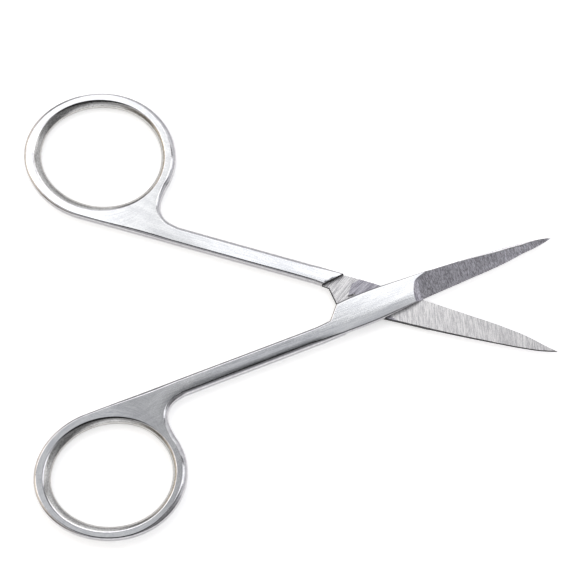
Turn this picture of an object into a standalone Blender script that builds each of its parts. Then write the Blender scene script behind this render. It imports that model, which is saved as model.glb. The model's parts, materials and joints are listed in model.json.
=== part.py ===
"""Fine-point steel scissors with finger rings: two crossed halves and a countersunk pivot screw.

Each half is drawn in its own frame: the pivot is the origin, +X runs to the tip, the ring lies at -Y,
and Z = 0 is the plane in which the two inner faces meet. The lower half is the same forging turned over
about its long axis. The rest pose is open, with the tips at +X and the resting surface at Z = 0.
"""

import math

import bmesh
import bpy
from mathutils import Vector, geometry

MM = 0.001

# Driving dimensions
THICKNESS = 2.8 * MM  # of the shanks and rings
LAP_GAP = 0.04 * MM  # from the meeting plane to each half's inner face
BLADE_LENGTH = 36.45 * MM  # pivot to tip
SHANK_INNER = -0.05 * MM  # Y of the shank's edge that faces the other shank
SHANK_ROOT = -0.15 * MM  # and of the same edge by the boss
SHANK_OUTER = -3.5 * MM
OPENING = math.radians(37.14)  # angle between the blades at rest
PIVOT_X = 18.16 * MM  # puts the origin under the middle of the open scissors

RING_CENTRE = Vector((-62.8 * MM, -13.1 * MM))
RING_SIZE = Vector((15.35 * MM, 13.1 * MM))  # half its length and width, and the same for the finger hole
HOLE_CENTRE = Vector((-62.6 * MM, -13.3 * MM))
HOLE_SIZE = Vector((12.15 * MM, 10.28 * MM))
RING_TILT = math.radians(-11.2)
RING_EGG = 0.037  # how much fuller the ring is on its blade side

INNER_RIM = 0.48 * MM  # width of the rounding on the edges that face the other shank
OUTER_RIM = 0.75 * MM  # and on the shank's outer edges
BOSS_RIM = 0.3 * MM
RING_RIM = 0.4 * MM
RING_NECK_RIM = 1.0 * MM  # how much wider the ring's rounding is towards the blade
RING_FAR_RIM = 0.25 * MM  # and on the far side
LEAST_RIM = 0.02 * MM
RIM_DEPTH = 0.7  # the fall over a rounding, against its width
HOLE_RIM = 1.35 * MM  # rounding of the finger hole
HOLE_RIM_SWING = -0.4 * MM  # it is this much wider towards the blade, and narrower on the far side
HOLE_DROP = 1.2 * MM
RIM_STEPS = 3

SPINE_HEIGHT = 1.05 * MM  # blade thickness at the spine, where the grind has run out
TIP_HEIGHT = 0.4 * MM
TAPER_START = 10 * MM  # X from which the blade thins to the tip
EDGE_LAND = 0.14 * MM  # blade thickness left at the cutting edge
BLADE_HALF_WIDTH = 2.7 * MM
TIP_HALF_WIDTH = 0.8 * MM
GRIND_START = 8 * MM  # X from which the blade narrows
GRIND_RUNOUT = 1.4 * MM
RUNOUT_STEPS = 4
UPPER_EDGE_TRIM = 0.2 * MM  # the upper blade is ground this much narrower than the drawn outline
LOWER_EDGE_TRIM = -0.2 * MM

SCREW_RADIUS = 1.25 * MM
HEAD_RADIUS = 2.0 * MM
HEAD_LAND = 0.2 * MM
SCREW_INTO_UPPER = 1.0 * MM
THREAD_GAP = 0.03 * MM
RUNNING_GAP = 0.06 * MM
SLOT_WIDTH = 0.6 * MM
SLOT_DEPTH = 0.5 * MM
HEAD_SUNK = 0.05 * MM
SCREW_CHAMFER = 0.2 * MM
ROUND_SEGMENTS = 40
CUTTER_REACH = 6 * MM  # how far a cutter stands out past what it cuts

# The boss's end edge, from the spine side in to the shank, and the shoulder of the lap on the inner face.
# Closed, each end edge stands just clear of the other half's shoulder.
BOSS_CORNER = Vector((-8.7 * MM, 2.8 * MM))
BOSS_ROOT = Vector((-11.1 * MM, 0.05 * MM))
SHOULDER_OUTER = Vector((-8.95 * MM, -3.4 * MM))
SHOULDER_INNER = Vector((-12.1 * MM, -0.45 * MM))


def smooth(points, steps):
    """Points along a smooth curve through the given ones, without its last point."""
    ends = [points[0] * 2 - points[1], points[-1] * 2 - points[-2]]
    padded = [ends[0], *points, ends[1]]
    curve = []
    for before, start, end, after in zip(padded, padded[1:], padded[2:], padded[3:]):
        for step in range(steps):
            t = step / steps
            slope_in = (end - before) / 2
            slope_out = (after - start) / 2
            curve.append(
                start * (2 * t**3 - 3 * t**2 + 1)
                + slope_in * (t**3 - 2 * t**2 + t)
                + end * (3 * t**2 - 2 * t**3)
                + slope_out * (t**3 - t**2)
            )
    return curve


def in_mm(*pairs):
    return [Vector((x * MM, y * MM)) for x, y in pairs]


def share(value, start, end):
    """How far a value has come from a start to an end, held between 0 and 1."""
    return min(max((value - start) / (end - start), 0), 1)


def oval_point(angle, centre, size):
    """A point of an egg-shaped oval, tilted as the ring is."""
    across = size.y * (1 + RING_EGG * math.cos(angle))
    x = size.x * math.cos(angle)
    y = across * math.sin(angle)
    turned = Vector(
        (
            x * math.cos(RING_TILT) - y * math.sin(RING_TILT),
            x * math.sin(RING_TILT) + y * math.cos(RING_TILT),
        )
    )
    return centre + turned


def oval_arc(start, end, centre, size, steps):
    """Points of an oval from one angle to another, in degrees, both ends included."""
    angles = [math.radians(start + (end - start) * step / steps) for step in range(steps + 1)]
    return [oval_point(angle, centre, size) for angle in angles]


def spine_line():
    """The back of the blade, from the tip to the boss's corner."""
    blade = in_mm((33, 0.8), (30, 1.2), (27, 1.5), (23, 1.8), (18, 2.15), (12, 2.5))
    boss = in_mm((5, 2.8), (0, 3.05), (-5, 3.05))
    return [Vector((BLADE_LENGTH, 0)), *blade, *boss, BOSS_CORNER]


def edge_line(trim):
    """The cutting edge and the boss's side, from the shank to just before the tip."""
    boss = in_mm((-9.5, -3.35), (-5, -3.35), (-1, -3.25), (3, -2.95))
    narrowing = in_mm((8, -2.6), (13, -2.35), (18, -2.1), (23, -1.85), (27, -1.5), (30, -1.1))
    tip = in_mm((33, -0.65))
    blade = [point + Vector((0, trim)) for point in narrowing]
    return [*boss, *blade, *tip, Vector((BLADE_LENGTH, 0))]


def half_outline(trim):
    """The plan outline of one half, counter-clockwise from the tip."""
    crotch = in_mm((-47.7, -12.1), (-48.1, -10.3), (-48.3, -7.4), (-47.6, -5.4), (-46, -4.1))
    crotch_start = Vector((-43.5 * MM, SHANK_OUTER))
    ring = oval_arc(104, 366, RING_CENTRE, RING_SIZE, 40)
    return [
        *smooth(spine_line(), 2),
        BOSS_CORNER,
        BOSS_ROOT,
        Vector((-14 * MM, SHANK_ROOT)),
        Vector((-57 * MM, SHANK_INNER * 0.6)),
        *ring[:-1],
        *smooth([ring[-1], *crotch, crotch_start], 2),
        crotch_start,
        *smooth([Vector((-14 * MM, SHANK_OUTER)), *edge_line(trim)], 2),
    ]


def towards_blade(point):
    """1 on the ring's side towards the blade, and -1 on its far side."""
    along = Vector((math.cos(RING_TILT), math.sin(RING_TILT)))
    return (point - RING_CENTRE).normalized().dot(along)


def rim_at(point):
    """The width of the rounding of the top and bottom edges at a point of the outline."""
    towards = towards_blade(point)
    ring = RING_RIM + (RING_NECK_RIM if towards > 0 else RING_FAR_RIM) * towards**2
    shank = INNER_RIM if point.y > -2 * MM else OUTER_RIM
    rim = shank + (ring - shank) * share(point.x, -44 * MM, -54 * MM)
    rim += (BOSS_RIM - shank) * share(point.x, -16 * MM, -10 * MM)
    return rim + (LEAST_RIM - rim) * share(point.x, 1 * MM, 8 * MM)


def hole_rim_at(point):
    return HOLE_RIM + HOLE_RIM_SWING * towards_blade(point)


def inward_normals(loop):
    """For each point of a counter-clockwise loop, the direction into the material, mitred."""
    normals = []
    for before, point, after in zip(loop[-1:] + loop[:-1], loop, loop[1:] + loop[:1]):
        first = (point - before).normalized()
        second = (after - point).normalized()
        middle = Vector((-first.y - second.y, first.x + second.x))
        mitre = middle.normalized().dot(Vector((-first.y, first.x)))
        normals.append(middle.normalized() / max(mitre, 0.5))
    return normals


def rim_section():
    """(inset, drop, side) round one edge of the plate from its bottom to its top, as shares of a rounding.

    Side is -1 on the bottom and 1 on the top.
    """
    quarter = [math.radians(90 * step / RIM_STEPS) for step in range(RIM_STEPS + 1)]
    top = [(1 - math.cos(angle), 1 - math.sin(angle), 1) for angle in quarter]
    bottom = [(inset, drop, -1) for inset, drop, _ in reversed(top)]
    return bottom + top


def add_wall(mesh, loop, rims, drops):
    """The wall round a loop with both its edges rounded. It returns its bottom and top rows of vertices."""
    normals = inward_normals(loop)
    rows = []
    for inset, drop, side in rim_section():
        row = []
        for point, normal, width, fall in zip(loop, normals, rims, drops):
            place = point + normal * (width * inset)
            row.append(mesh.verts.new((place.x, place.y, side * (THICKNESS / 2 - drop * fall))))
        rows.append(row)
    for lower, upper in zip(rows, rows[1:]):
        for i in range(len(loop)):
            j = (i + 1) % len(loop)
            mesh.faces.new((lower[i], lower[j], upper[j], upper[i]))
    return rows[0], rows[-1]


def add_flat(mesh, outer, hole):
    """Flat triangles between an outer row of vertices and the row round the hole."""
    corners = outer + hole
    for triangle in geometry.tessellate_polygon([[v.co for v in outer], [v.co for v in hole]]):
        mesh.faces.new([corners[i] for i in triangle])


def forging(name, trim):
    """One half before machining: its outline at full thickness, with rounded edges and the finger hole."""
    outline = half_outline(trim)
    rims = [rim_at(point) for point in outline]
    hole = oval_arc(360, 0, HOLE_CENTRE, HOLE_SIZE, 48)[:-1]
    hole_rims = [hole_rim_at(point) for point in hole]
    mesh = bmesh.new()
    outer_bottom, outer_top = add_wall(mesh, outline, rims, [RIM_DEPTH * rim for rim in rims])
    hole_bottom, hole_top = add_wall(mesh, hole, hole_rims, [HOLE_DROP] * len(hole))
    add_flat(mesh, outer_top, hole_top)
    add_flat(mesh, outer_bottom, hole_bottom)
    bmesh.ops.recalc_face_normals(mesh, faces=mesh.faces)
    return finished(name, mesh)


def finished(name, mesh):
    """An object in the scene from a bmesh."""
    data = bpy.data.meshes.new(name)
    mesh.to_mesh(data)
    mesh.free()
    piece = bpy.data.objects.new(name, data)
    bpy.context.scene.collection.objects.link(piece)
    return piece


def prism(name, outline, bottom, top):
    """A closed body from a plan outline between two heights."""
    mesh = bmesh.new()
    face = mesh.faces.new([mesh.verts.new((point.x, point.y, bottom)) for point in outline])
    grown = bmesh.ops.extrude_face_region(mesh, geom=[face])["geom"]
    raised = [item for item in grown if isinstance(item, bmesh.types.BMVert)]
    bmesh.ops.translate(mesh, verts=raised, vec=(0, 0, top - bottom))
    bmesh.ops.recalc_face_normals(mesh, faces=mesh.faces)
    return finished(name, mesh)


def turned(name, profile):
    """A closed body of revolution about Z from (radius, height) pairs, bottom to top."""
    mesh = bmesh.new()
    rows = []
    for radius, height in profile:
        angles = [2 * math.pi * i / ROUND_SEGMENTS for i in range(ROUND_SEGMENTS)]
        rows.append(
            [mesh.verts.new((radius * math.cos(a), radius * math.sin(a), height)) for a in angles]
        )
    for lower, upper in zip(rows, rows[1:]):
        for i in range(ROUND_SEGMENTS):
            j = (i + 1) % ROUND_SEGMENTS
            mesh.faces.new((lower[i], lower[j], upper[j], upper[i]))
    mesh.faces.new(rows[0])
    mesh.faces.new(rows[-1])
    bmesh.ops.recalc_face_normals(mesh, faces=mesh.faces)
    return finished(name, mesh)


def lap_cutter(name):
    """What is milled away below the boss and blade so that the halves lap. Its back wall is the shoulder."""
    along = (SHOULDER_INNER - SHOULDER_OUTER).normalized()
    front = BLADE_LENGTH + CUTTER_REACH
    outline = [
        SHOULDER_OUTER - along * CUTTER_REACH,
        Vector((front, -2 * CUTTER_REACH)),
        Vector((front, 2 * CUTTER_REACH)),
        SHOULDER_INNER + along * CUTTER_REACH,
    ]
    return prism(name, outline, -THICKNESS, LAP_GAP)


def grind_line():
    """Where the boss's top ends and the blade's grind begins, from the cutting edge to the spine."""
    lower = in_mm((6.4, -4.5), (6.35, -2.3), (6.6, -0.4))
    upper = in_mm((7.4, 1.3), (8.3, 1.95), (9.9, 2.45), (13, 3.4))
    return smooth(lower + upper, 3)


def blade_height(x, y):
    """Height of the ground face over the inner face: it slopes from the spine down to the cutting edge."""
    narrowing = share(x, GRIND_START, BLADE_LENGTH)
    half_width = BLADE_HALF_WIDTH + (TIP_HALF_WIDTH - BLADE_HALF_WIDTH) * narrowing
    spine = SPINE_HEIGHT + (TIP_HEIGHT - SPINE_HEIGHT) * share(x, TAPER_START, BLADE_LENGTH)
    return EDGE_LAND + (spine - EDGE_LAND) * (y / half_width + 1) / 2


def grind_cutter(name):
    """What is ground off the blade's outer face: it slopes to the cutting edge, and runs out at the boss."""
    mesh = bmesh.new()
    top = THICKNESS / 2
    far = BLADE_LENGTH + CUTTER_REACH / 2
    step = GRIND_RUNOUT / RUNOUT_STEPS
    columns = []
    for point in grind_line():
        column = []
        for run in [step * i for i in range(-1, RUNOUT_STEPS + 1)] + [far]:
            x = min(point.x + run, far)
            ground = LAP_GAP + blade_height(x, point.y)
            left = (1 - min(run / GRIND_RUNOUT, 1)) ** 2
            column.append(mesh.verts.new((x, point.y, ground + (top - ground) * left)))
        columns.append(column)
    for first, second in zip(columns, columns[1:]):
        for i in range(len(first) - 1):
            mesh.faces.new((first[i], first[i + 1], second[i + 1], second[i]))
    grown = bmesh.ops.extrude_face_region(mesh, geom=mesh.faces[:])["geom"]
    for item in grown:
        if isinstance(item, bmesh.types.BMVert):
            item.co.z = 3 * THICKNESS
    bmesh.ops.recalc_face_normals(mesh, faces=mesh.faces)
    return finished(name, mesh)


def screw_profile(gap):
    """Half section of the countersunk head and shaft, grown by a gap, from the head's face up the shaft."""
    face = -THICKNESS / 2 + HEAD_SUNK
    land = face + HEAD_LAND
    cone_end = land + (HEAD_RADIUS - SCREW_RADIUS)
    return [
        (HEAD_RADIUS + gap, face),
        (HEAD_RADIUS + gap, land + gap / 2),
        (SCREW_RADIUS + gap, cone_end + gap / 2),
    ]


def head_cutter(name):
    """The countersunk clearance hole through the lower half, seen in the screw's frame."""
    profile = screw_profile(RUNNING_GAP)
    opening = [(profile[0][0], -THICKNESS)]
    return turned(name, opening + profile[1:] + [(SCREW_RADIUS + RUNNING_GAP, THICKNESS)])


def thread_cutter(name):
    """The blind hole in the upper half that the screw is threaded into."""
    radius = SCREW_RADIUS + THREAD_GAP
    return turned(name, [(radius, -THICKNESS), (radius, SCREW_INTO_UPPER + THREAD_GAP)])


def pivot_screw(name):
    """The slotted countersunk screw, in the frame of the pivot with its head down."""
    shaft = [
        (SCREW_RADIUS, SCREW_INTO_UPPER - SCREW_CHAMFER),
        (SCREW_RADIUS - SCREW_CHAMFER, SCREW_INTO_UPPER),
    ]
    screw = turned(name, screw_profile(0) + shaft)
    half = SLOT_WIDTH / 2
    ends = [Vector((x, y)) for x, y in ((-1, -1), (1, -1), (1, 1), (-1, 1))]
    outline = [Vector((corner.x * 2 * HEAD_RADIUS, corner.y * half)) for corner in ends]
    face = screw_profile(0)[0][1]
    cut(screw, prism("slot_cutter", outline, face - SLOT_DEPTH, face + SLOT_DEPTH))
    return screw


def cut(piece, cutter):
    """Takes the cutter's shape out of the piece. The cutter moves with the piece and isn't rendered."""
    cutter.parent = piece
    cutter.hide_render = True
    cutter.display_type = "WIRE"
    modifier = piece.modifiers.new(cutter.name, "BOOLEAN")
    modifier.object = cutter
    modifier.operation = "DIFFERENCE"


def steel(name, colour, roughness):
    """A bare steel material."""
    material = bpy.data.materials.new(name)
    material.use_nodes = True
    shader = material.node_tree.nodes["Principled BSDF"]
    shader.inputs["Base Color"].default_value = (*colour, 1)
    shader.inputs["Metallic"].default_value = 1
    shader.inputs["Roughness"].default_value = roughness
    return material


def place(piece, turn, material):
    """Puts a piece on the pivot's axis, turned by Euler angles, shaded smooth between its sharp edges."""
    piece.location = (PIVOT_X, 0, THICKNESS / 2)
    piece.rotation_euler = turn
    piece.data.materials.append(material)
    piece.data.shade_smooth()
    piece.data.set_sharp_from_angle(angle=math.radians(35))


def main():
    for leftover in list(bpy.data.objects):
        bpy.data.objects.remove(leftover)
    satin = steel("satin_steel", (0.72, 0.73, 0.74), 0.32)
    bright = steel("screw_steel", (0.62, 0.62, 0.63), 0.25)

    upper = forging("upper_half", UPPER_EDGE_TRIM)
    cut(upper, lap_cutter("upper_lap_cutter"))
    cut(upper, grind_cutter("upper_grind_cutter"))
    cut(upper, thread_cutter("thread_cutter"))
    place(upper, (0, 0, OPENING / 2), satin)

    lower = forging("lower_half", LOWER_EDGE_TRIM)
    cut(lower, lap_cutter("lower_lap_cutter"))
    cut(lower, grind_cutter("lower_grind_cutter"))
    countersink = head_cutter("countersink_cutter")
    cut(lower, countersink)
    countersink.rotation_euler = (math.pi, 0, 0)
    place(lower, (math.pi, 0, -OPENING / 2), satin)

    screw = pivot_screw("pivot_screw")
    place(screw, (0, 0, OPENING / 2), bright)


main()
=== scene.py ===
"""Fine-point steel thread snips: the finished surfaces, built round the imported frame.

Each half is drawn in its own frame, in millimetres: the pivot is the origin, +u runs to the tip, the ring
lies at -v, and w = 0 is the plane in which the two inner faces meet. The lower half is the same forging
turned over about its long axis. A half is two sheets, outer and inner, over one plan outline, with walls
between them.
"""

import json
import math

import bmesh
import bpy
import numpy as np
from mathutils import Matrix, Vector, geometry


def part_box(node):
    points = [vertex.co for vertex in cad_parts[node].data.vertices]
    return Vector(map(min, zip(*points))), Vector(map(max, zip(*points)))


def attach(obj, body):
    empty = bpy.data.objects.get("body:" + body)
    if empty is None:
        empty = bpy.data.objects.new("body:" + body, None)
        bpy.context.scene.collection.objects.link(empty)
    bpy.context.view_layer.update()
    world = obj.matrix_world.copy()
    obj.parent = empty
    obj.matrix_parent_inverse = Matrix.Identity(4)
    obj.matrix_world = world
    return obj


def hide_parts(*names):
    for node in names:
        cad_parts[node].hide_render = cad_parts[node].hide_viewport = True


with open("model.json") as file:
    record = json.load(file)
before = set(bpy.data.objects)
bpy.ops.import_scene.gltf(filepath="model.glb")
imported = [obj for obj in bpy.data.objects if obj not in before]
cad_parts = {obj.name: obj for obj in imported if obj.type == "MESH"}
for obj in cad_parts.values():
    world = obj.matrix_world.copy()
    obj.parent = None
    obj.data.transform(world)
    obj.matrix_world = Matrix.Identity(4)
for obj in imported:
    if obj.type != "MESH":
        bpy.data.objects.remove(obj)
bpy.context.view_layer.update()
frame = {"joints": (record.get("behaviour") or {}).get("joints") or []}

MM = 0.001
PIVOT = Vector(frame["joints"][0]["pos_m"])
THICKNESS = (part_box("upper_half")[1].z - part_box("upper_half")[0].z) / MM
OPENING = math.radians(37.14)  # between the blades at rest

# The plan of a half, in millimetres
BLADE_LENGTH = 36.45
SHANK_INNER = -0.03  # where it meets the ring's curve
SHANK_OUTER = -3.5
SHANK_ROOT = -0.15
SHANK_SIDES = -2  # v beyond this is the shank's inner side, and below it the outer one
BOSS_START = -14
SHANK_END = -57
CROTCH_START = -43.5
CROTCH = [(-47.7, -12.1), (-48.1, -10.3), (-48.3, -7.4), (-47.6, -5.4), (-46, -4.1)]
RING_CENTRE = (-62.8, -13.1)
RING_SIZE = (15.35, 13.1)  # half its length and width, and the same for the finger hole
HOLE_CENTRE = (-62.6, -13.3)
HOLE_SIZE = (12.15, 10.28)
RING_TILT = math.radians(-11.2)
RING_EGG = 0.037
RING_ARC = (104, 366)  # in degrees round the ring, from the shank's inner side to the crotch
BOSS_CORNER = (-8.7, 2.8)
BOSS_ROOT = (-11.1, 0.05)
SHOULDER_OUTER = (-8.95, -3.4)
SHOULDER_INNER = (-12.1, -0.45)
SHOULDER_OVERHANG = 4  # how far its line is drawn past the outline at both ends
EDGE_TRIM = {"upper_half": 0.2, "lower_half": -0.2}
GRIND_LINE = [(6.4, -4.5), (6.35, -2.3), (6.6, -0.4), (7.4, 1.3), (8.3, 1.95), (9.9, 2.45), (13, 3.4)]
PAD_LINE = [(-4.6, -4.5), (-6.9, -1.9), (-6.9, 0.4), (-5.8, -0.3), (-4.4, 1.2), (-5.4, 2.3), (-4.8, 4.2)]
RECESS_BACK = -16  # well behind the shoulder, so the shoulder bounds the recess

# Where one part of a half blends into the next, as the two ends of the blend along u
RING_BLEND = (-44, -54)
BOSS_BLEND = (-16, -10)
BLADE_BLEND = (1, 8)
CROWN_END = (9, 3)
TIP_RIM_START = (17, 25)
TIP_RIM_END = (34, 30)
CROWN_FADE = 8  # the outer crown fades out over this much of v, up to the ring's centre

# Its section, in millimetres
LAP_GAP = 0.04
INNER_RIM = 0.48
OUTER_RIM = 0.75
BOSS_RIM = 0.3
RING_RIM = 0.4
RING_NECK_RIM = 1.0  # how much wider the ring's rim is towards the blade
RING_FAR_RIM = 0.25  # and on the far side
HOLE_RIM = 1.35
HOLE_RIM_SWING = -0.4  # how much the hole's rim grows towards the blade, and shrinks on the far side
HOLE_DROP = 1.2
FINGER_SHARE = 0.8  # how much of the hole's rim is blasted; the crease at its foot is buffed
SPINE_HEIGHT = 1.05
TIP_HEIGHT = 0.4
TAPER_START = 10
EDGE_LAND = 0.14
EDGE_RIM = 0.03
SPINE_RIM = 0.1
TIP_RIM = 0.55
SPINE_DEPTH = 0.3  # the fall over the rim on the back of the blade, against its width
BACK_SHADE_LINE = 0.16  # the width of the line of painted shade along the back of the lapped face
BOSS_SHADE_LINE = 0.08  # and of the line of painted shade along the back of the boss
SHADED_WALL_START = -12.6  # from here to the tip, the outline's wall along the back is unpolished and painted near-black as painted shade
RIM_SUPPORT = 0.06  # a last row this far past each rounding keeps the flat's shading flat
GRIND_RUNOUT = 1.4
RIM_DEPTH = 0.7  # the fall over a rim, against its width
WORN = 0.3  # how much of a bevelled edge its worn crease takes up
ROUNDNESS = 0.7  # how far a rim is from a flat bevel, towards a quarter round
OUTER_CROWN = 0.15
BOSS_CROWN = 0.07
INNER_CROWN = 0.035  # on the faces that meet, along the edges that face the other shank
HOLE_CROWN = 0.01
CROWN_REACH = 2.3
RECESS_DEPTH = 0.12
RECESS_STEEPNESS = 1.5  # its wall against the sheets' other steps
PAD_END = 6.5  # the worn pad under the boss ends this far before the grind line

# The pivot, in millimetres
SCREW_RADIUS = 1.25
HEAD_RADIUS = 2.0
HEAD_LAND = 0.2
HEAD_SUNK = 0.05
SCREW_INTO_UPPER = 1.0
THREAD_GAP = 0.03
RUNNING_GAP = 0.06
SLOT_WIDTH = 0.6
SLOT_DEPTH = 0.5
SCREW_CHAMFER = 0.08
SCREW_END_CHAMFER = 0.15

# The view, in millimetres and degrees
VIEW_TARGET = (0.663, 2.54, 1.4)
VIEW_DISTANCE = 760
VIEW_TILT = math.radians(12)
VIEW_SIDE = math.radians(0.8)
VIEW_ROLL = math.radians(2.45)
VIEW_LENS = 232.65

# The stage
FLOOR_SIZE = 3.0  # in metres
FLOOR_GLOW = 0.50
OVAL_TILT = math.radians(-18.5)  # the middle of the dark oval overhead, from straight up
OVAL_ALONG = math.radians(24.5)  # half its length
OVAL_SIDE = -0.05  # the sines of its middle and of half its width, to the right
OVAL_ACROSS = 0.30
OVAL_GREY = 0.02
OVAL_EDGE = (0.88, 1.08)  # its soft edge, against its size
SOFTBOX_LOW = (-0.3, 0.043)  # its corners and height, in metres
SOFTBOX_HIGH = (0.07, 0.175)
SOFTBOX_HEIGHT = 0.22
SOFTBOX_RADIANCE = 1.0

# The room's light by direction, as tilts to the rear from straight up, or as sines to the right, the rear
# and up. Each pair is the two ends of a change, or the levels at its ends.
CEILING_TILTS = (math.radians(8), math.radians(13))
CEILING_LEVELS = (0.74, 0.5)
CEILING_SIDE = (0.04, 0.12)
CEILING_SIDE_LEVEL = 0.35
SIDE_PANELS_MIDDLE = -0.03
SIDE_PANELS = (0.18, 0.26)
SIDE_PANELS_LEVEL = 1.6
SIDE_PANELS_REAR = 0.08
SIDE_PANELS_REACH = (0.15, 0.11)
REAR_PANEL = (math.radians(16), math.radians(28))
REAR_PANEL_LEVEL = 0.95
REAR_WALL_MIDDLE = (0.5, 0.9)  # to the right and the rear
REAR_WALL = (0.82, 0.96)
REAR_WALL_LEVELS = (0.95, 0.55)
LEFT_DARK = (-0.08, -0.3)
LEFT_DARK_LEVEL = 0.25
FAR_LEFT = (-0.42, -0.6)
FAR_LEFT_LEVEL = 0.9
RIGHT_WALL = (0.4, 0.85)
RIGHT_WALL_LEVEL = 0.75
FRONT_START = (-0.2, -0.5)
FRONT_WALL = (-0.72, -0.98)
FRONT_WALL_LEVELS = (0.2, 1.1)
WALL_TOP = (0.8, 0.5)
WARM_LEFT = (-0.3, -0.8)
WARM_TINT = (1.08, 0.98, 0.84)
COOL_TINT = (0.97, 0.98, 1.01)

# The finishes of a half's faces, in the order of its material slots, and the mesh's own name for places
SATIN, GROUND, LAPPED, PAD, RECESS, PAINTED_SHADE, FINGER, BEVEL = range(8)
OWN_PLACE = "own_place"

# Where the finishes change, as the two ends of the change along u
RING_POLISH = (-47, -54)
NECK_POLISH = (-30, -44)
NECK_WORN_TO = (-60, -52)
SHANK_BRUSHED_FROM = (-10, -18)
SHANK_BRUSHED_TO = (-60, -50)
ROUGHNESS_SWING = 0.1  # between the marks of the satin finish
# Where the painted highlight on the ground face comes in, towards the tip
TIP_HIGHLIGHT = (22, 32)
TIP_HIGHLIGHT_GAIN = 1.28  # how much lighter the ground face is painted at the tip, as a painted highlight

# Mesh density, in millimetres and degrees
SPACING = 0.45
RUNOUT_SPACING = 0.2
RUNOUT_CLEAR = (0.3, 0.2)  # no grid points from this far before the run-out to this far past it
RIM_SHARES = (1, 0.995, 0.97, 0.92, 0.83, 0.7, 0.54, 0.38, 0.22, 0.1, 0.04, 0)  # rows across a rounding
ROUND_SEGMENTS = 72
STEP_WIDTH = 0.04  # plan width of a wall that a sheet steps down
SHARP_ANGLE = math.radians(22)
MITRE_LIMIT = 0.5
LEAST_WIDTH = 0.01  # of the blade, at its very tip
MERGE_DISTANCE = 1e-5
GROUP_SIZE = 500  # points measured at a time, to spare memory


def spline(points, spacing=SPACING):
    """Evenly spaced points on a smooth curve through the given ones, both ends included."""
    points = np.array(points, float)
    padded = np.vstack([2 * points[0] - points[1], points, 2 * points[-1] - points[-2]])
    curve = [points[:1]]
    for before, start, end, after in zip(padded, padded[1:], padded[2:], padded[3:]):
        steps = max(2, math.ceil(np.linalg.norm(end - start) / spacing))
        t = np.linspace(0, 1, steps + 1)[1:, None]
        curve.append(
            start * (2 * t**3 - 3 * t**2 + 1)
            + (end - before) / 2 * (t**3 - 2 * t**2 + t)
            + end * (3 * t**2 - 2 * t**3)
            + (after - start) / 2 * (t**3 - t**2)
        )
    return np.vstack(curve)


def straight(start, end):
    """Evenly spaced points on a straight line, both ends included."""
    steps = max(1, math.ceil(math.dist(start, end) / SPACING))
    return np.linspace(start, end, steps + 1)


def oval_arc(start, end, centre, size, outward=0.0):
    """Points of an egg-shaped oval, or that far outside it, between two angles in degrees."""
    long, short = size
    steps = math.ceil(math.radians(end - start) * long / SPACING)
    angle = np.radians(np.linspace(start, end, steps + 1))
    across = short * (1 + RING_EGG * np.cos(angle))
    normal = np.stack([across * np.cos(angle), long * np.sin(angle)], 1)
    normal /= np.linalg.norm(normal, axis=1)[:, None]
    outward = np.broadcast_to(outward, angle.shape)[:, None]
    point = np.stack([long * np.cos(angle), across * np.sin(angle)], 1) + normal * outward
    cos, sin = math.cos(RING_TILT), math.sin(RING_TILT)
    return point @ np.array([[cos, sin], [-sin, cos]]) + centre


def spine_line():
    """The back of the blade and the boss, from the tip to the boss's corner."""
    blade = [(33, 0.8), (30, 1.2), (27, 1.5), (23, 1.8), (18, 2.15), (12, 2.5)]
    boss = [(5, 2.8), (0, 3.05), (-5, 3.05)]
    return spline([(BLADE_LENGTH, 0), *blade, *boss, BOSS_CORNER])


def edge_line(trim):
    """The shank's end, the boss's side and the cutting edge, to the tip."""
    boss = [(BOSS_START, SHANK_OUTER), (-9.5, -3.35), (-5, -3.35), (-1, -3.25), (3, -2.95)]
    blade = [(8, -2.6), (13, -2.35), (18, -2.1), (23, -1.85), (27, -1.5), (30, -1.1)]
    ground = [(u, v + trim) for u, v in blade]
    return spline([*boss, *ground, (33, -0.65), (BLADE_LENGTH, 0)])


def half_outline(trim):
    """The plan outline of one half, counter-clockwise from the tip."""
    root_end = (BOSS_START, SHANK_ROOT)
    shank_end = (SHANK_END, SHANK_INNER)
    crotch_start = (CROTCH_START, SHANK_OUTER)
    ring = oval_arc(*RING_ARC, RING_CENTRE, RING_SIZE)
    runs = [
        spine_line(),
        straight(BOSS_CORNER, BOSS_ROOT),
        straight(BOSS_ROOT, root_end),
        straight(root_end, shank_end),
        spline([shank_end, ring[0]]),
        ring,
        spline([ring[-1], *CROTCH, crotch_start]),
        straight(crotch_start, (BOSS_START, SHANK_OUTER)),
        edge_line(trim),
    ]
    return np.vstack([run[:-1] for run in runs])


def inward_normals(loop):
    """For each point of a counter-clockwise loop, the direction into the material, mitred."""
    before = loop - np.roll(loop, 1, 0)
    after = np.roll(loop, -1, 0) - loop
    before /= np.linalg.norm(before, axis=1)[:, None]
    after /= np.linalg.norm(after, axis=1)[:, None]
    middle = np.stack([-before[:, 1] - after[:, 1], before[:, 0] + after[:, 0]], 1)
    middle /= np.linalg.norm(middle, axis=1)[:, None]
    mitre = -middle[:, 0] * before[:, 1] + middle[:, 1] * before[:, 0]
    return middle / np.maximum(mitre, MITRE_LIMIT)[:, None]


def with_crossings(loop, line):
    """The loop with a point added wherever the line crosses it, so that both sheets share that point."""
    points = []
    for start, end in zip(loop, np.roll(loop, -1, 0)):
        points.append(start)
        hits = [geometry.intersect_line_line_2d(start, end, a, b) for a, b in zip(line, line[1:])]
        points += sorted([np.array(hit) for hit in hits if hit], key=lambda hit: math.dist(start, hit))
    return np.array(points)


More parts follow.
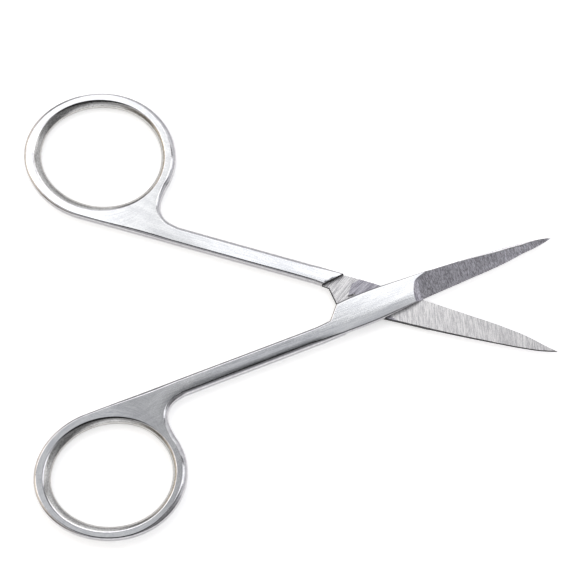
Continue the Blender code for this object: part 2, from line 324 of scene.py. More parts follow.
def nearest_on(loop, values, points):
    """Each point's distance to a closed loop, and the loop's value at the nearest place on it."""
    steps = np.roll(loop, -1, 0) - loop
    following = np.roll(values, -1)
    distances, found = [], []
    for group in np.array_split(points, len(points) // GROUP_SIZE + 1):
        offset = group[:, None] - loop
        share = np.clip((offset * steps).sum(2) / (steps**2).sum(1), 0, 1)
        gap = np.linalg.norm(offset - share[:, :, None] * steps, axis=2)
        best = (np.arange(len(group)), gap.argmin(1))
        distances.append(gap[best])
        found.append(values[best[1]] * (1 - share[best]) + following[best[1]] * share[best])
    return np.concatenate(distances), np.concatenate(found)


def inside(loop, points):
    """Which points lie inside a closed loop."""
    u, v = points[:, :1], points[:, 1:]
    ends = np.roll(loop, -1, 0)
    spans = (loop[:, 1] > v) != (ends[:, 1] > v)
    rise = np.where(ends[:, 1] == loop[:, 1], 1, ends[:, 1] - loop[:, 1])
    crossing = loop[:, 0] + (v - loop[:, 1]) / rise * (ends[:, 0] - loop[:, 0])
    return (spans & (u < crossing)).sum(1) % 2 == 1


def circle(radius):
    angle = 2 * math.pi * np.arange(ROUND_SEGMENTS) / ROUND_SEGMENTS
    return radius * np.stack([np.cos(angle), np.sin(angle)], 1)


def rounded(away, rim, drop):
    """How far a bevelled edge has fallen, at a distance from it. The crease at its foot is worn round."""
    share = np.clip(1 - away / rim, 0, 1)
    slope = (np.hypot(share, WORN) - WORN) / (math.hypot(1, WORN) - WORN)
    return drop * (slope + ROUNDNESS * (1 - np.sqrt(1 - share**2) - slope))


def blend(values, ends):
    """0 at the first end and 1 at the second, and held there beyond them."""
    start, end = ends
    return np.clip((values - start) / (end - start), 0, 1)


def crown(away, fall):
    """The slight fall of a polished face towards its edge."""
    return fall * np.clip(1 - away / CROWN_REACH, 0, 1) ** 2


class Plan:
    """One half seen from above: its outlines, the lines at which its faces change, and their heights."""

    def __init__(self, name):
        self.spine = spine_line()[::-1]
        self.edge = edge_line(EDGE_TRIM[name])
        self.grind = spline(GRIND_LINE, RUNOUT_SPACING)
        self.pad = np.vstack([straight(a, b)[1:] for a, b in zip(PAD_LINE, PAD_LINE[1:])])
        self.recess = np.vstack([self.pad, [(RECESS_BACK, PAD_LINE[-1][1]), (RECESS_BACK, PAD_LINE[0][1])]])
        along = np.subtract(SHOULDER_INNER, SHOULDER_OUTER)
        along /= np.linalg.norm(along)
        self.ahead = np.array([along[1], -along[0]])
        past = SHOULDER_OVERHANG * along
        top = np.array([SHOULDER_OUTER - past, SHOULDER_INNER + past])
        self.inner_lines = [top, top + self.ahead * STEP_WIDTH, self.pad, self.pad - (STEP_WIDTH, 0)]
        outline = half_outline(EDGE_TRIM[name])
        for line in [self.grind, *self.inner_lines]:
            outline = with_crossings(outline, line)
        self.outline = outline
        self.rims = self.outline_rims()
        self.hole = oval_arc(0, 360, HOLE_CENTRE, HOLE_SIZE)[:-1]
        self.hole_rims = HOLE_RIM + HOLE_RIM_SWING * self.towards_blade(self.hole)

    def towards_blade(self, points):
        """1 on the ring's side towards the blade, and -1 on its far side."""
        offset = points - RING_CENTRE
        return (offset @ (math.cos(RING_TILT), math.sin(RING_TILT))) / np.linalg.norm(offset, axis=1)

    def outline_rims(self):
        """How wide the rounding is at each point of the outline."""
        u, v = self.outline[:, 0], self.outline[:, 1]
        towards = self.towards_blade(self.outline)
        ring = RING_RIM + np.where(towards > 0, RING_NECK_RIM, RING_FAR_RIM) * towards**2
        spine = SPINE_RIM + (TIP_RIM - SPINE_RIM) * blend(u, TIP_RIM_START) * blend(u, TIP_RIM_END)
        shank = np.where(v > SHANK_SIDES, INNER_RIM, OUTER_RIM)
        rim = shank + (ring - shank) * blend(u, RING_BLEND) + (BOSS_RIM - shank) * blend(u, BOSS_BLEND)
        return rim + (np.where(v > 0, spine, EDGE_RIM) - rim) * blend(u, BLADE_BLEND)

    def crowns(self, inner_crown):
        """How far a face falls towards each point of the outline."""
        u, v = self.outline.T
        fade = blend(v, (RING_CENTRE[1] - CROWN_FADE, RING_CENTRE[1]))
        outer = np.where((v < SHANK_SIDES) & (u > RING_CENTRE[0]), fade, 0)
        fall = OUTER_CROWN + (BOSS_CROWN - OUTER_CROWN) * blend(u, BOSS_BLEND)
        inner = np.where(v < SHANK_SIDES, 0, inner_crown)
        return (inner + fall * outer) * blend(u, CROWN_END)

    def past_grind(self, points):
        """How far each point is past the line where the grind begins, along the blade."""
        return points[:, 0] - np.interp(points[:, 1], self.grind[:, 1], self.grind[:, 0])

    def past_shoulder(self, points):
        return (points - SHOULDER_OUTER) @ self.ahead

    def plate_height(self, points, inner_crown=0.0):
        """How far a full-thickness face stands from the meeting plane."""
        away, rim = nearest_on(self.outline, self.rims, points)
        _, fall = nearest_on(self.outline, self.crowns(inner_crown), points)
        hole_away, hole_rim = nearest_on(self.hole, self.hole_rims, points)
        rims = rounded(away, rim, RIM_DEPTH * rim) + rounded(hole_away, hole_rim, HOLE_DROP)
        return THICKNESS / 2 - rims - crown(away, fall) - crown(hole_away, HOLE_CROWN)

    def blade_height(self, points):
        """Height of the ground face, which slopes from the spine down to the cutting edge."""
        u, v = points.T
        spine = np.interp(u, self.spine[:, 0], self.spine[:, 1])
        edge = np.interp(u, self.edge[:, 0], self.edge[:, 1])
        share = np.clip((v - edge) / np.maximum(spine - edge, LEAST_WIDTH), 0, 1)
        full = SPINE_HEIGHT + (TIP_HEIGHT - SPINE_HEIGHT) * blend(u, (TAPER_START, BLADE_LENGTH))
        away, rim = nearest_on(self.outline, self.rims, points)
        return LAP_GAP + EDGE_LAND + (full - EDGE_LAND) * share - rounded(away, rim, SPINE_DEPTH * rim)

    def outer_height(self, points):
        run_out = blend(self.past_grind(points), (GRIND_RUNOUT, 0)) ** 2
        ground = self.blade_height(points)
        return ground + (self.plate_height(points) - ground) * run_out

    def inner_height(self, points):
        """The inner face: full thickness behind the shoulder, then the recess, and lapped from there on."""
        behind = -self.plate_height(points, INNER_CROWN)
        pad_away, _ = nearest_on(self.recess, np.zeros(len(self.recess)), points)
        down = blend(pad_away, (0, STEP_WIDTH / RECESS_STEEPNESS))
        lapped = LAP_GAP + RECESS_DEPTH * np.where(inside(self.recess, points), down, 0)
        return behind + (lapped - behind) * blend(self.past_shoulder(points), (0, STEP_WIDTH))


def rim_loops(plan):
    """The outline and the finger hole, each with the rows that follow its rounding."""
    normals = inward_normals(plan.outline)
    closed_rims = np.append(plan.hole_rims, plan.hole_rims[0])
    insets = [plan.rims * (1 - share) for share in RIM_SHARES] + [plan.rims + RIM_SUPPORT]
    hole_insets = [closed_rims * (1 - share) for share in RIM_SHARES] + [closed_rims + RIM_SUPPORT]
    outer = [plan.outline + normals * inset[:, None] for inset in insets]
    hole = [oval_arc(0, 360, HOLE_CENTRE, HOLE_SIZE, inset)[:-1] for inset in hole_insets]
    return outer, hole


def fill_points(plan, side):
    """An even triangular grid inside the rims, and on the outer side rows along the grind's run-out."""
    low, high = plan.outline.min(0), plan.outline.max(0)
    rows = np.arange(low[1], high[1], SPACING * math.sqrt(0.75))
    columns = np.arange(low[0], high[0], SPACING)
    grid = np.array([(u + SPACING / 2 * (i % 2), v) for i, v in enumerate(rows) for u in columns])
    grid = grid[inside(plan.outline, grid) & ~inside(plan.hole, grid)]
    if side == "outer":
        run = plan.past_grind(grid)
        grid = grid[(run < -RUNOUT_CLEAR[0]) | (run > GRIND_RUNOUT + RUNOUT_CLEAR[1])]
        steps = np.arange(RUNOUT_SPACING, GRIND_RUNOUT + RUNOUT_SPACING, RUNOUT_SPACING)
        run_out = np.vstack([plan.grind + (step, 0) for step in steps])
        grid = np.vstack([grid, run_out[inside(plan.outline, run_out)]])
    away, rim = nearest_on(plan.outline, plan.rims, grid)
    hole_away, hole_rim = nearest_on(plan.hole, plan.hole_rims, grid)
    margin = RIM_SUPPORT + SPACING / 3
    return grid[(away > rim + margin) & (hole_away > hole_rim + margin)]


def triangulated(loops, lines, points):
    """Triangles between closed loops, open lines and points.

    It returns their corners' places, the triangles, and for each loop its corners in order.
    """
    corners, edges, rows = [], [], []
    for row_points, closed in [(loop, True) for loop in loops] + [(line, False) for line in lines]:
        row = list(range(len(corners), len(corners) + len(row_points)))
        corners += [Vector(point) for point in row_points]
        edges += zip(row, row[1:] + row[:1] * closed)
        rows.append(row)
    corners += [Vector(point) for point in points]
    found = geometry.delaunay_2d_cdt(corners, edges, [], 0, MERGE_DISTANCE, True)
    place = {source: i for i, sources in enumerate(found[3]) for source in sources}
    return np.array(found[0]), np.array(found[2]), [[place[i] for i in row] for row in rows[: len(loops)]]


def add_sheet(mesh, plan, side, screw_hole):
    """One face of a half. It returns the vertices of its outline, finger hole and screw hole, in order."""
    outer_rims, hole_rims = rim_loops(plan)
    loops = [*outer_rims, *hole_rims]
    gaps = [plan.hole]
    if screw_hole:
        gaps.append(circle(screw_hole))
        loops += [circle(screw_hole), circle(screw_hole + SCREW_CHAMFER)]
    lines = [plan.grind] if side == "outer" else plan.inner_lines
    places, triangles, rows = triangulated(loops, lines, fill_points(plan, side))
    height = plan.outer_height if side == "outer" else plan.inner_height
    heights = height(places)
    if screw_hole:
        from_hole = np.linalg.norm(places, axis=1) - screw_hole
        chamfer = np.clip(SCREW_CHAMFER - from_hole, 0, SCREW_CHAMFER) * (1 if side == "inner" else -1)
        heights += chamfer
    vertices = [mesh.verts.new((u * MM, v * MM, w * MM)) for (u, v), w in zip(places, heights)]
    middles = places[triangles].mean(1)
    keep = inside(plan.outline, middles)
    for gap in gaps:
        keep &= ~inside(gap, middles)
    finishes = finish_of(plan, side, middles)
    for triangle, finish in zip(triangles[keep], finishes[keep]):
        mesh.faces.new([vertices[i] for i in triangle]).material_index = finish
    kept_rows = [rows[0], rows[len(outer_rims)]] + ([rows[-2]] if screw_hole else [])
    return [[vertices[i] for i in row] for row in kept_rows]


def wall_finish(points):
    """The finish of the outline's wall: along the back towards the tip it is unpolished and painted
    near-black, as painted shade.
    """
    shaded_wall = (points[:, 0] > SHADED_WALL_START) & (points[:, 1] > SHOULDER_INNER[1])
    return np.where(shaded_wall, PAINTED_SHADE, BEVEL)


def finish_of(plan, side, points):
    """The finish at each point of a sheet."""
    hole_away, hole_rim = nearest_on(plan.hole, plan.hole_rims, points)
    away, rim = nearest_on(plan.outline, plan.rims, points)
    on_edge = (away < rim) | (hole_away < hole_rim)
    plate = np.where(hole_away < FINGER_SHARE * hole_rim, FINGER, np.where(on_edge, BEVEL, SATIN))
    on_back = points[:, 1] > 0
    if side == "outer":
        # A thin line of painted shade along the back edge of the boss.
        plate = np.where((away < BOSS_SHADE_LINE) & on_back, PAINTED_SHADE, plate)
        blade = np.where((away < rim) & on_back, BEVEL, GROUND)
        return np.where(plan.past_grind(points) > 0, blade, plate)
    on_pad = plan.past_grind(points) < -PAD_END
    lapped = np.where(inside(plan.recess, points), RECESS, np.where(on_pad, PAD, LAPPED))
    # A thin line of painted shade along the back edge of the lapped face.
    lapped = np.where((away < BACK_SHADE_LINE) & on_back, PAINTED_SHADE, lapped)
    # The step down at the shoulder is painted as dark as the walls ahead of it: painted shade in its
    # crease.
    ahead = plan.past_shoulder(points)
    return np.where(ahead > STEP_WIDTH, lapped, np.where(ahead > 0, PAINTED_SHADE, plate))


def bridge(mesh, first, second, finishes):
    """Quads between two rows of vertices, each with its own finish."""
    for i, vertex in enumerate(first):
        j = (i + 1) % len(first)
        mesh.faces.new((vertex, first[j], second[j], second[i])).material_index = finishes[i]


def add_circles(mesh, start, profile):
    """Walls from a row of vertices through circles of given (radius, height). It returns the last row."""
    row = start
    for radius, height in profile:
        following = [mesh.verts.new((u * MM, v * MM, height * MM)) for u, v in circle(radius)]
        bridge(mesh, row, following, [SATIN] * len(row))
        row = following
    return row


def head_profile(gap):
    """The countersunk head, from its land to the shaft, as (radius, height) in the lower half's frame."""
    land = THICKNESS / 2 - HEAD_SUNK - HEAD_LAND
    cone_end = land - (HEAD_RADIUS - SCREW_RADIUS)
    return [(HEAD_RADIUS + gap, land - gap / 2), (SCREW_RADIUS + gap, cone_end - gap / 2)]


def add_side_walls(mesh, plan, outer, inner):
    """The walls round the outline and the finger hole."""
    middles = (plan.outline + np.roll(plan.outline, -1, 0)) / 2
    bridge(mesh, outer[0], inner[0], wall_finish(middles))
    bridge(mesh, outer[1], inner[1], [FINGER] * len(plan.hole))


def make_upper_half():
    """The half on top, with the blind hole that the screw's thread goes into."""
    plan = Plan("upper_half")
    mesh = bmesh.new()
    bore = SCREW_RADIUS + THREAD_GAP
    outer = add_sheet(mesh, plan, "outer", None)
    inner = add_sheet(mesh, plan, "inner", bore)
    end = add_circles(mesh, inner[2], [(bore, SCREW_INTO_UPPER + THREAD_GAP)])
    mesh.faces.new(end)
    add_side_walls(mesh, plan, outer, inner)
    return finished("snips_upper_half", mesh)


def make_lower_half():
    """The half underneath, countersunk for the screw's head."""
    plan = Plan("lower_half")
    mesh = bmesh.new()
    outer = add_sheet(mesh, plan, "outer", HEAD_RADIUS + RUNNING_GAP)
    inner = add_sheet(mesh, plan, "inner", SCREW_RADIUS + RUNNING_GAP)
    shaft = add_circles(mesh, outer[2], head_profile(RUNNING_GAP))
    bridge(mesh, shaft, inner[2], [SATIN] * len(shaft))
    add_side_walls(mesh, plan, outer, inner)
    return finished("snips_lower_half", mesh)


def make_screw():
    """The pivot screw in the upper half's frame, its slotted head down."""
    face = THICKNESS / 2 - HEAD_SUNK
    head = [(HEAD_RADIUS - SCREW_CHAMFER, face), (HEAD_RADIUS, face - SCREW_CHAMFER), *head_profile(0)]
    shaft = [
        (SCREW_RADIUS, SCREW_END_CHAMFER - SCREW_INTO_UPPER),
        (SCREW_RADIUS - SCREW_END_CHAMFER, -SCREW_INTO_UPPER),
    ]
    profile = [(radius, -height) for radius, height in head + shaft]
    mesh = bmesh.new()
    start = [mesh.verts.new((u * MM, v * MM, profile[0][1] * MM)) for u, v in circle(profile[0][0])]
    mesh.faces.new(start)
    mesh.faces.new(add_circles(mesh, start, profile[1:]))
    screw = finished("snips_pivot_screw", mesh)
    slot = bmesh.new()
    size = Matrix.Diagonal((3 * HEAD_RADIUS * MM, SLOT_WIDTH * MM, 2 * SLOT_DEPTH * MM, 1))
    bmesh.ops.create_cube(slot, size=1, matrix=Matrix.Translation((0, 0, -face * MM)) @ size)
    cut(screw, finished("slot_cutter", slot))
    return screw


def cut(piece, cutter):
    """Takes the cutter's shape out of the piece for good."""
    modifier = piece.modifiers.new("cut", "BOOLEAN")
    modifier.object = cutter
    evaluated = piece.evaluated_get(bpy.context.evaluated_depsgraph_get())
    result = bpy.data.meshes.new_from_object(evaluated)
    piece.modifiers.remove(modifier)
    piece.data = result
    bpy.data.objects.remove(cutter)


def finished(name, mesh):
    """An object in the scene from a bmesh, without its loose vertices."""
    loose = [vertex for vertex in mesh.verts if not vertex.link_faces]
    bmesh.ops.delete(mesh, geom=loose, context="VERTS")
    bmesh.ops.recalc_face_normals(mesh, faces=mesh.faces)
    data = bpy.data.meshes.new(name)
    mesh.to_mesh(data)
    mesh.free()
    piece = bpy.data.objects.new(name, data)
    bpy.context.scene.collection.objects.link(piece)
    return piece


# Node helpers


def add_node(tree, kind, inputs=None, **settings):
    """A shader node with its settings, and its inputs set to values or linked from other nodes' outputs."""
    node = tree.nodes.new(kind)
    for key, value in settings.items():
        setattr(node, key, value)
    for key, value in (inputs or {}).items():
        if isinstance(value, bpy.types.NodeSocket):
            tree.links.new(value, node.inputs[key])
        else:
            node.inputs[key].default_value = value
    return node


def calculate(tree, operation, first, second=0.0, third=0.0):
    """The result of a Math node."""
    return add_node(tree, "ShaderNodeMath", {0: first, 1: second, 2: third}, operation=operation).outputs[0]


def remap(tree, value, low, high, to_low=0.0, to_high=1.0):
    """A value between two limits stretched to two others, and held there."""
    sockets = {"Value": value, "From Min": low, "From Max": high, "To Min": to_low, "To Max": to_high}
    return add_node(tree, "ShaderNodeMapRange", sockets, interpolation_type="SMOOTHSTEP").outputs[0]


def mixed(tree, share, first, second):
    """A number between two numbers."""
    return add_node(tree, "ShaderNodeMix", {"Factor": share, "A": first, "B": second}).outputs["Result"]


def tinted(tree, share, first, second):
    """A colour between two colours."""
    node = add_node(tree, "ShaderNodeMix", data_type="RGBA")
    # The colour sockets share their names with the number sockets, so they go by place.
    for socket, value in zip((0, 6, 7), (share, first, second)):
        if isinstance(value, bpy.types.NodeSocket):
            tree.links.new(value, node.inputs[socket])
        else:
            node.inputs[socket].default_value = value if socket == 0 else (*value, 1)
    return node.outputs[2]


def own_place(tree):
    """The place on the piece, in millimetres of its own frame."""
    return add_node(tree, "ShaderNodeAttribute", attribute_name=OWN_PLACE).outputs["Vector"]


def noise(tree, place, scale, detail=2.0):
    sockets = {"Vector": place, "Scale": scale, "Detail": detail, "Roughness": 0.6}
    return add_node(tree, "ShaderNodeTexNoise", sockets).outputs["Fac"]


def grain(tree, place, direction, length, width, seed):
    """Noise drawn out along a direction in the plan, in degrees, as grinding marks are."""
    turn = {"Vector": place, "Rotation": (0, 0, -math.radians(direction))}
    turned = add_node(tree, "ShaderNodeMapping", turn).outputs[0]
    stretch = {"Vector": turned, "Location": (seed, seed, 0), "Scale": (1 / length, 1 / width, 1 / width)}
    return noise(tree, add_node(tree, "ShaderNodeMapping", stretch).outputs[0], scale=1.0, detail=3.0)


def ring_grain(tree, place, turns, width, seed):
    """Noise drawn out round the finger ring, as polishing marks are."""
    centre = {"Vector": place, "Location": (-RING_CENTRE[0], -RING_CENTRE[1], 0)}
    offset = add_node(tree, "ShaderNodeMapping", centre).outputs[0]
    radius = add_node(tree, "ShaderNodeVectorMath", {0: offset}, operation="LENGTH").outputs["Value"]
    outward = add_node(tree, "ShaderNodeVectorMath", {0: offset}, operation="NORMALIZE").outputs[0]
    parts = add_node(tree, "ShaderNodeSeparateXYZ", {0: outward}).outputs
    across = calculate(tree, "MULTIPLY_ADD", radius, 1 / width, seed)
    sockets = {
        "X": calculate(tree, "MULTIPLY", parts[0], turns),
        "Y": calculate(tree, "MULTIPLY", parts[1], turns),
        "Z": across,
    }
    return noise(tree, add_node(tree, "ShaderNodeCombineXYZ", sockets).outputs[0], scale=1.0, detail=3.0)


def bare_steel(name):
    """A new steel material. It returns the material, its node tree and the place on the piece."""
    material = bpy.data.materials.new(name)
    material.use_nodes = True
    shader = material.node_tree.nodes["Principled BSDF"]
    shader.inputs["Metallic"].default_value = 1.0
    shader.inputs["Specular Tint"].default_value = (0.7, 0.7, 0.71, 1)
    return material, material.node_tree, own_place(material.node_tree)


def dress(tree, colour, roughness, relief, depth):
    """Links a colour, a roughness and a relief, of a depth in millimetres, to the shader."""
    shader = tree.nodes["Principled BSDF"]
    tree.links.new(colour, shader.inputs["Base Color"])
    tree.links.new(roughness, shader.inputs["Roughness"])
    bump = add_node(tree, "ShaderNodeBump", {"Height": relief, "Distance": depth * MM, "Strength": 1.0})
    tree.links.new(bump.outputs[0], shader.inputs["Normal"])


# Materials


def satin_steel():
    """Shanks and boss brushed along their length, and rings polished round the finger."""
    material, tree, place = bare_steel("satin_steel")
    along = add_node(tree, "ShaderNodeSeparateXYZ", {0: place}).outputs[0]
    on_ring = remap(tree, along, *RING_POLISH)
    by_ring = remap(tree, along, *NECK_POLISH)
    lengthwise = grain(tree, place, direction=0, length=6.0, width=0.2, seed=3.1)
    fine = mixed(tree, on_ring, lengthwise, ring_grain(tree, place, turns=3.0, width=0.25, seed=7.7))
    broad = grain(tree, place, direction=12, length=7.0, width=1.6, seed=5.3)
    speckle = noise(tree, place, scale=3.0, detail=3.0)
    marks = mixed(tree, 0.4, fine, speckle)
    wear = mixed(tree, 0.35, marks, broad)
    tone = remap(tree, wear, 0.38, 0.62)
    bright = tinted(tree, tone, (0.65, 0.66, 0.685), (0.82, 0.825, 0.83))
    brushed = tinted(tree, tone, (0.57, 0.58, 0.605), (0.735, 0.74, 0.755))
    worn = tinted(tree, tone, (0.53, 0.535, 0.55), (0.67, 0.675, 0.68))
    on_neck = calculate(tree, "MULTIPLY", by_ring, remap(tree, along, *NECK_WORN_TO))
    shank_ends = [remap(tree, along, *ends) for ends in (SHANK_BRUSHED_FROM, SHANK_BRUSHED_TO)]
    on_shank = calculate(tree, "MULTIPLY", *shank_ends)
    colour = tinted(tree, on_neck, tinted(tree, on_shank, bright, brushed), worn)
    polish = mixed(tree, by_ring, 0.10, mixed(tree, on_ring, 0.24, 0.12))
    smoothest = calculate(tree, "SUBTRACT", polish, ROUGHNESS_SWING / 2)
    roughness = calculate(tree, "MULTIPLY_ADD", marks, ROUGHNESS_SWING, smoothest)
    dress(tree, colour, roughness, marks, depth=0.005)
    return material


def bevel_steel():
    """The buffed edges and sides of the shanks and rings, and the back of the blade."""
    material, tree, place = bare_steel("bevel_steel")
    speckle = noise(tree, place, scale=4.0, detail=3.0)
    patches = noise(tree, place, scale=0.9)
    tone = mixed(tree, 0.5, speckle, patches)
    colour = tinted(tree, remap(tree, tone, 0.38, 0.62), (0.58, 0.57, 0.59), (0.72, 0.71, 0.72))
    roughness = remap(tree, tone, 0.35, 0.65, 0.07, 0.13)
    dress(tree, colour, roughness, speckle, depth=0.004)
    return material


def finger_steel():
    """The rounded inside of the finger rings, blasted to a fine speckle."""
    material, tree, place = bare_steel("finger_steel")
    speckle = noise(tree, place, scale=4.5, detail=3.0)
    broad = ring_grain(tree, place, turns=2.0, width=1.5, seed=2.2)
    tone = mixed(tree, 0.35, speckle, broad)
    colour = tinted(tree, remap(tree, tone, 0.36, 0.64), (0.37, 0.36, 0.35), (0.66, 0.65, 0.635))
    roughness = remap(tree, speckle, 0.3, 0.7, 0.14, 0.26)
    dress(tree, colour, roughness, speckle, depth=0.008)
    return material


def cross_ground(name, dark, light, direction, length, relief, tip_highlight_gain=1.0):
    """A face ground across, in fine streaks and broader bands, and painted lighter towards the tip by the
    given gain, as a painted highlight.
    """
    material, tree, place = bare_steel(name)
    fine = grain(tree, place, direction, length, width=0.12, seed=2.9)
    band = grain(tree, place, direction - 4, length=9.0, width=0.5, seed=6.1)
    speckle = noise(tree, place, scale=5.0)
    streaks = mixed(tree, 0.25, fine, speckle)
    marks = mixed(tree, 0.2, streaks, band)
    along = add_node(tree, "ShaderNodeSeparateXYZ", {0: place}).outputs[0]
    # The painted highlight towards the tip, standing in for a brighter reflection there.
    tip_highlight_share = remap(tree, along, *TIP_HIGHLIGHT)
    dark = tinted(tree, tip_highlight_share, dark, [tip_highlight_gain * channel for channel in dark])
    light = tinted(tree, tip_highlight_share, light, [tip_highlight_gain * channel for channel in light])
    colour = tinted(tree, remap(tree, marks, 0.4, 0.6), dark, light)
    roughness = remap(tree, fine, 0.3, 0.7, 0.3, 0.42)
    dress(tree, colour, roughness, streaks, relief)
    return material


def ground_steel():
    """The blades' outer faces."""
    dark, light = (0.29, 0.275, 0.31), (0.74, 0.725, 0.78)
    return cross_ground("ground_steel", dark, light, 90, length=1.7, relief=0.012, tip_highlight_gain=TIP_HIGHLIGHT_GAIN)


def lapped_steel():
    """The blades' inner faces."""
    dark, light = (0.53, 0.52, 0.53), (0.92, 0.905, 0.90)
    return cross_ground("lapped_steel", dark, light, 68, length=1.7, relief=0.012)


def pad_steel():
    """The worn patch round the pivot that the other half rides on."""
    dark, light = (0.22, 0.21, 0.245), (0.58, 0.57, 0.62)
    return cross_ground("pad_steel", dark, light, -56, length=4.0, relief=0.010)


def recess_steel():
    """The milled recess by the shoulder, with coarse diagonal marks."""
    dark, light = (0.38, 0.37, 0.385), (0.88, 0.87, 0.87)
    return cross_ground("recess_steel", dark, light, -66, length=4.0, relief=0.012)


def painted_shade_steel():
    """Side walls, the creases of the lap and thin lines along the back edges, unpolished and painted
    near-black as painted shade.
    """
    material, tree, place = bare_steel("painted_shade_steel")
    shader = tree.nodes["Principled BSDF"]
    shader.inputs["Metallic"].default_value = 0.0
    shader.inputs["Specular IOR Level"].default_value = 0.1
    patches = noise(tree, place, scale=2.2, detail=3.0)
    fine = noise(tree, place, scale=9.0)
    # A near-black colour: painted shade.
    colour = tinted(tree, remap(tree, patches, 0.35, 0.65), (0.02, 0.02, 0.022), (0.08, 0.078, 0.08))
    roughness = remap(tree, fine, 0.3, 0.7, 0.5, 0.65)
    dress(tree, colour, roughness, fine, depth=0.012)
    return material


def screw_steel():
    """The turned screw, with fine rings round its axis."""
    material, tree, place = bare_steel("screw_steel")
    flat = add_node(tree, "ShaderNodeVectorMath", {0: place, 1: (1, 1, 0)}, operation="MULTIPLY").outputs[0]
    radius = add_node(tree, "ShaderNodeVectorMath", {0: flat}, operation="LENGTH").outputs["Value"]
    rings = noise(tree, add_node(tree, "ShaderNodeCombineXYZ", {"X": radius}).outputs[0], scale=9.0)
    patches = noise(tree, place, scale=1.6, detail=3.0)
    tone = mixed(tree, 0.4, rings, patches)
    colour = tinted(tree, remap(tree, tone, 0.35, 0.65), (0.50, 0.50, 0.51), (0.70, 0.70, 0.70))
    roughness = remap(tree, patches, 0.3, 0.7, 0.2, 0.34)
    dress(tree, colour, roughness, rings, depth=0.006)
    return material


def floor_white():
    """A white sheet lit from below as well, as on a light table."""
    material = bpy.data.materials.new("floor_white")
    material.use_nodes = True
    shader = material.node_tree.nodes["Principled BSDF"]
    shader.inputs["Base Color"].default_value = (0.9, 0.9, 0.9, 1)
    shader.inputs["Roughness"].default_value = 0.9
    shader.inputs["Specular IOR Level"].default_value = 0.0
    shader.inputs["Emission Color"].default_value = (1, 1, 1, 1)
    shader.inputs["Emission Strength"].default_value = FLOOR_GLOW
    return material


# The stage


def add_floor():
    mesh = bmesh.new()
    bmesh.ops.create_grid(mesh, x_segments=1, y_segments=1, size=FLOOR_SIZE / 2)
    floor = finished("floor", mesh)
    floor.data.materials.append(floor_white())


def add_softbox():
    """A rectangular light facing down over the piece. The camera doesn't see it."""
    low, high = Vector(SOFTBOX_LOW), Vector(SOFTBOX_HIGH)
    data = bpy.data.lights.new("overhead_softbox", "AREA")
    data.shape = "RECTANGLE"
    data.size, data.size_y = high - low
    data.energy = SOFTBOX_RADIANCE * math.pi * data.size * data.size_y
    light = bpy.data.objects.new("overhead_softbox", data)
    bpy.context.scene.collection.objects.link(light)
    light.location = (*(low + high) / 2, SOFTBOX_HEIGHT)
    light.visible_camera = False


def outside_oval(tree, right, tilt):
    """0 inside the dark oval overhead, and 1 outside it."""
    across = calculate(tree, "DIVIDE", calculate(tree, "SUBTRACT", right, OVAL_SIDE), OVAL_ACROSS)
    along = calculate(tree, "DIVIDE", calculate(tree, "SUBTRACT", tilt, OVAL_TILT), OVAL_ALONG)
    squares = calculate(tree, "MULTIPLY_ADD", across, across, calculate(tree, "MULTIPLY", along, along))
    return remap(tree, calculate(tree, "SQRT", squares), *OVAL_EDGE)


def ceiling(tree, right, rear, tilt):
    """The ceiling, dimmer to the rear and the right, with a panel on either side and one over the rear."""
    plain = remap(tree, tilt, *CEILING_TILTS, *CEILING_LEVELS)
    plain = calculate(tree, "MULTIPLY", plain, remap(tree, right, *CEILING_SIDE, 1.0, CEILING_SIDE_LEVEL))
    sideways = calculate(tree, "ABSOLUTE", calculate(tree, "SUBTRACT", right, SIDE_PANELS_MIDDLE))
    side_panels = remap(tree, sideways, *SIDE_PANELS, 0, SIDE_PANELS_LEVEL)
    lengthwise = calculate(tree, "ABSOLUTE", calculate(tree, "SUBTRACT", rear, SIDE_PANELS_REAR))
    side_panels = calculate(tree, "MULTIPLY", side_panels, remap(tree, lengthwise, *SIDE_PANELS_REACH))
    rear_panel = remap(tree, tilt, *REAR_PANEL, 0, REAR_PANEL_LEVEL)
    return calculate(tree, "MAXIMUM", plain, calculate(tree, "MAXIMUM", side_panels, rear_panel))


def walls(tree, right, rear):
    """The walls: the rear one darker at its left and its far right, and the front one bright low down."""
    middle_right, middle_rear = REAR_WALL_MIDDLE
    to_rear = calculate(tree, "MULTIPLY", right, middle_right)
    to_rear = calculate(tree, "MULTIPLY_ADD", rear, middle_rear, to_rear)
    rear_wall = remap(tree, to_rear, *REAR_WALL, *REAR_WALL_LEVELS)
    left = remap(tree, right, *LEFT_DARK, 1.0, LEFT_DARK_LEVEL)
    far_left = remap(tree, right, *FAR_LEFT, 0, FAR_LEFT_LEVEL)
    rear_wall = calculate(tree, "MULTIPLY", rear_wall, calculate(tree, "MAXIMUM", left, far_left))
    right_wall = remap(tree, right, *RIGHT_WALL, 1.0, RIGHT_WALL_LEVEL)
    front_wall = remap(tree, rear, *FRONT_WALL, *FRONT_WALL_LEVELS)
    not_front = calculate(tree, "MINIMUM", rear_wall, right_wall)
    return mixed(tree, remap(tree, rear, *FRONT_START), not_front, front_wall)


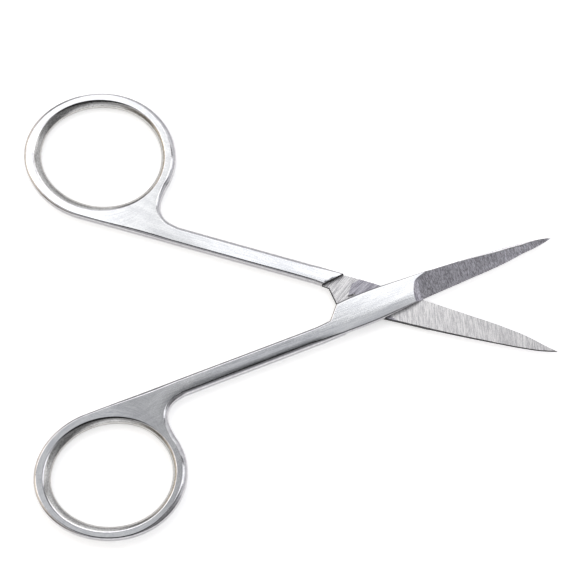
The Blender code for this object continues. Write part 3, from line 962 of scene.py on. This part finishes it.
def light_room():
    """Pale walls and panels round the piece, with a dark oval above its near side."""
    world = bpy.data.worlds.new("studio")
    world.use_nodes = True
    tree = world.node_tree
    direction = add_node(tree, "ShaderNodeTexCoord").outputs["Generated"]
    right, rear, up = add_node(tree, "ShaderNodeSeparateXYZ", {0: direction}).outputs
    tilt = calculate(tree, "ARCTAN2", rear, up)
    overhead = ceiling(tree, right, rear, tilt)
    bright = mixed(tree, remap(tree, up, *WALL_TOP), overhead, walls(tree, right, rear))
    grey = mixed(tree, outside_oval(tree, right, tilt), OVAL_GREY, bright)
    tint = tinted(tree, remap(tree, right, *WARM_LEFT), COOL_TINT, WARM_TINT)
    colour = add_node(tree, "ShaderNodeVectorMath", {0: tint, "Scale": grey}, operation="SCALE").outputs[0]
    tree.links.new(colour, tree.nodes["Background"].inputs["Color"])
    bpy.context.scene.world = world


def add_camera():
    """A long lens over the piece, tilted to the near side and turned a little."""
    turn = Matrix.Rotation(-VIEW_ROLL, 3, "Z")
    tilt = Vector((math.sin(VIEW_SIDE) * math.cos(VIEW_TILT), -math.sin(VIEW_TILT), math.cos(VIEW_TILT)))
    back = (turn @ tilt).normalized()
    right = (turn @ Vector((0, 1, 0))).cross(back).normalized()
    axes = Matrix((right, back.cross(right), back)).transposed().to_4x4()
    data = bpy.data.cameras.new("camera")
    data.lens = VIEW_LENS
    data.clip_start = 0.01
    camera = bpy.data.objects.new("camera", data)
    bpy.context.scene.collection.objects.link(camera)
    camera.matrix_world = Matrix.Translation(Vector(VIEW_TARGET) * MM + back * VIEW_DISTANCE * MM) @ axes
    bpy.context.scene.camera = camera


def place_piece(piece, turn, materials, body, node):
    """Puts a piece on the pivot with its finishes, and has it stand for its CAD node."""
    own = piece.data.attributes.new(OWN_PLACE, "FLOAT_VECTOR", "POINT")
    for vertex, entry in zip(piece.data.vertices, own.data):
        entry.vector = vertex.co / MM
    piece.data.transform(Matrix.Translation(PIVOT) @ turn)
    for material in materials:
        piece.data.materials.append(material)
    piece.data.shade_smooth()
    piece.data.set_sharp_from_angle(angle=SHARP_ANGLE)
    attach(piece, body)
    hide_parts(node)


half_finishes = [
    satin_steel(),
    ground_steel(),
    lapped_steel(),
    pad_steel(),
    recess_steel(),
    painted_shade_steel(),
    finger_steel(),
    bevel_steel(),
]
half_turn = Matrix.Rotation(OPENING / 2, 4, "Z")
turned_over = Matrix.Rotation(-OPENING / 2, 4, "Z") @ Matrix.Rotation(math.pi, 4, "X")
place_piece(make_upper_half(), half_turn, half_finishes, "upper", "upper_half")
place_piece(make_lower_half(), turned_over, half_finishes, "lower", "lower_half")
place_piece(make_screw(), half_turn, [screw_steel()], "upper", "pivot_screw")

add_floor()
light_room()
add_softbox()
add_camera()
bpy.context.scene.view_settings.view_transform = "Standard"
